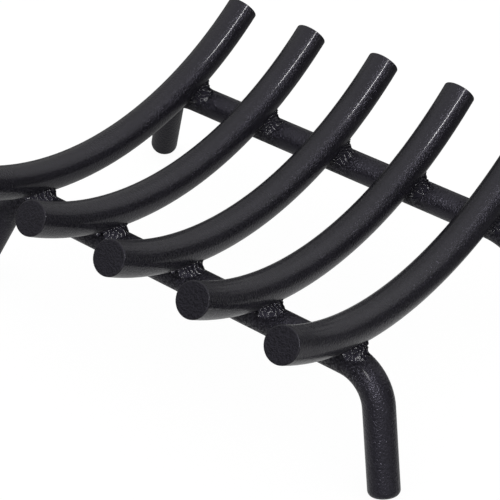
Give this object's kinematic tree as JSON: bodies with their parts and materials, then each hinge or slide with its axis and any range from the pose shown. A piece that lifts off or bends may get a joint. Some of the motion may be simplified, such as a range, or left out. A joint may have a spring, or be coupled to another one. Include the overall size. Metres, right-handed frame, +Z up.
{
  "type": "log grate",
  "caption": "Welded fireplace log grate: curved round bars laid over front and rear rails whose ends are bent down into splayed legs.",
  "frame": {"origin": "on the hearth, under the middle of the grate", "axes": "+X along the rails to the right, +Y to the back of the fireplace, +Z up"},
  "size_m": [0.3052, 0.2566, 0.1151],
  "materials": {
    "black_coat": "semi-gloss black high-temperature coat with a fine grain over solid steel rod",
    "weld_coat": "the same black coat over rippled weld metal, a little glossier"
  },
  "bodies": {
    "root": {"bar_1": "black_coat", "bar_2": "black_coat", "bar_3": "black_coat", "bar_4": "black_coat", "bar_5": "black_coat", "front_rail": "black_coat", "rear_rail": "black_coat", "weld_front_1_left": "weld_coat", "weld_front_1_right": "weld_coat", "weld_front_2_left": "weld_coat", "weld_front_2_right": "weld_coat", "weld_front_3_left": "weld_coat", "weld_front_3_right": "weld_coat", "weld_front_4_left": "weld_coat", "weld_front_4_right": "weld_coat", "weld_front_5_left": "weld_coat", "weld_front_5_right": "weld_coat", "weld_rear_1_left": "weld_coat", "weld_rear_1_right": "weld_coat", "weld_rear_2_left": "weld_coat", "weld_rear_2_right": "weld_coat", "weld_rear_3_left": "weld_coat", "weld_rear_3_right": "weld_coat", "weld_rear_4_left": "weld_coat", "weld_rear_4_right": "weld_coat", "weld_rear_5_left": "weld_coat", "weld_rear_5_right": "weld_coat"}
  },
  "joints": []
}
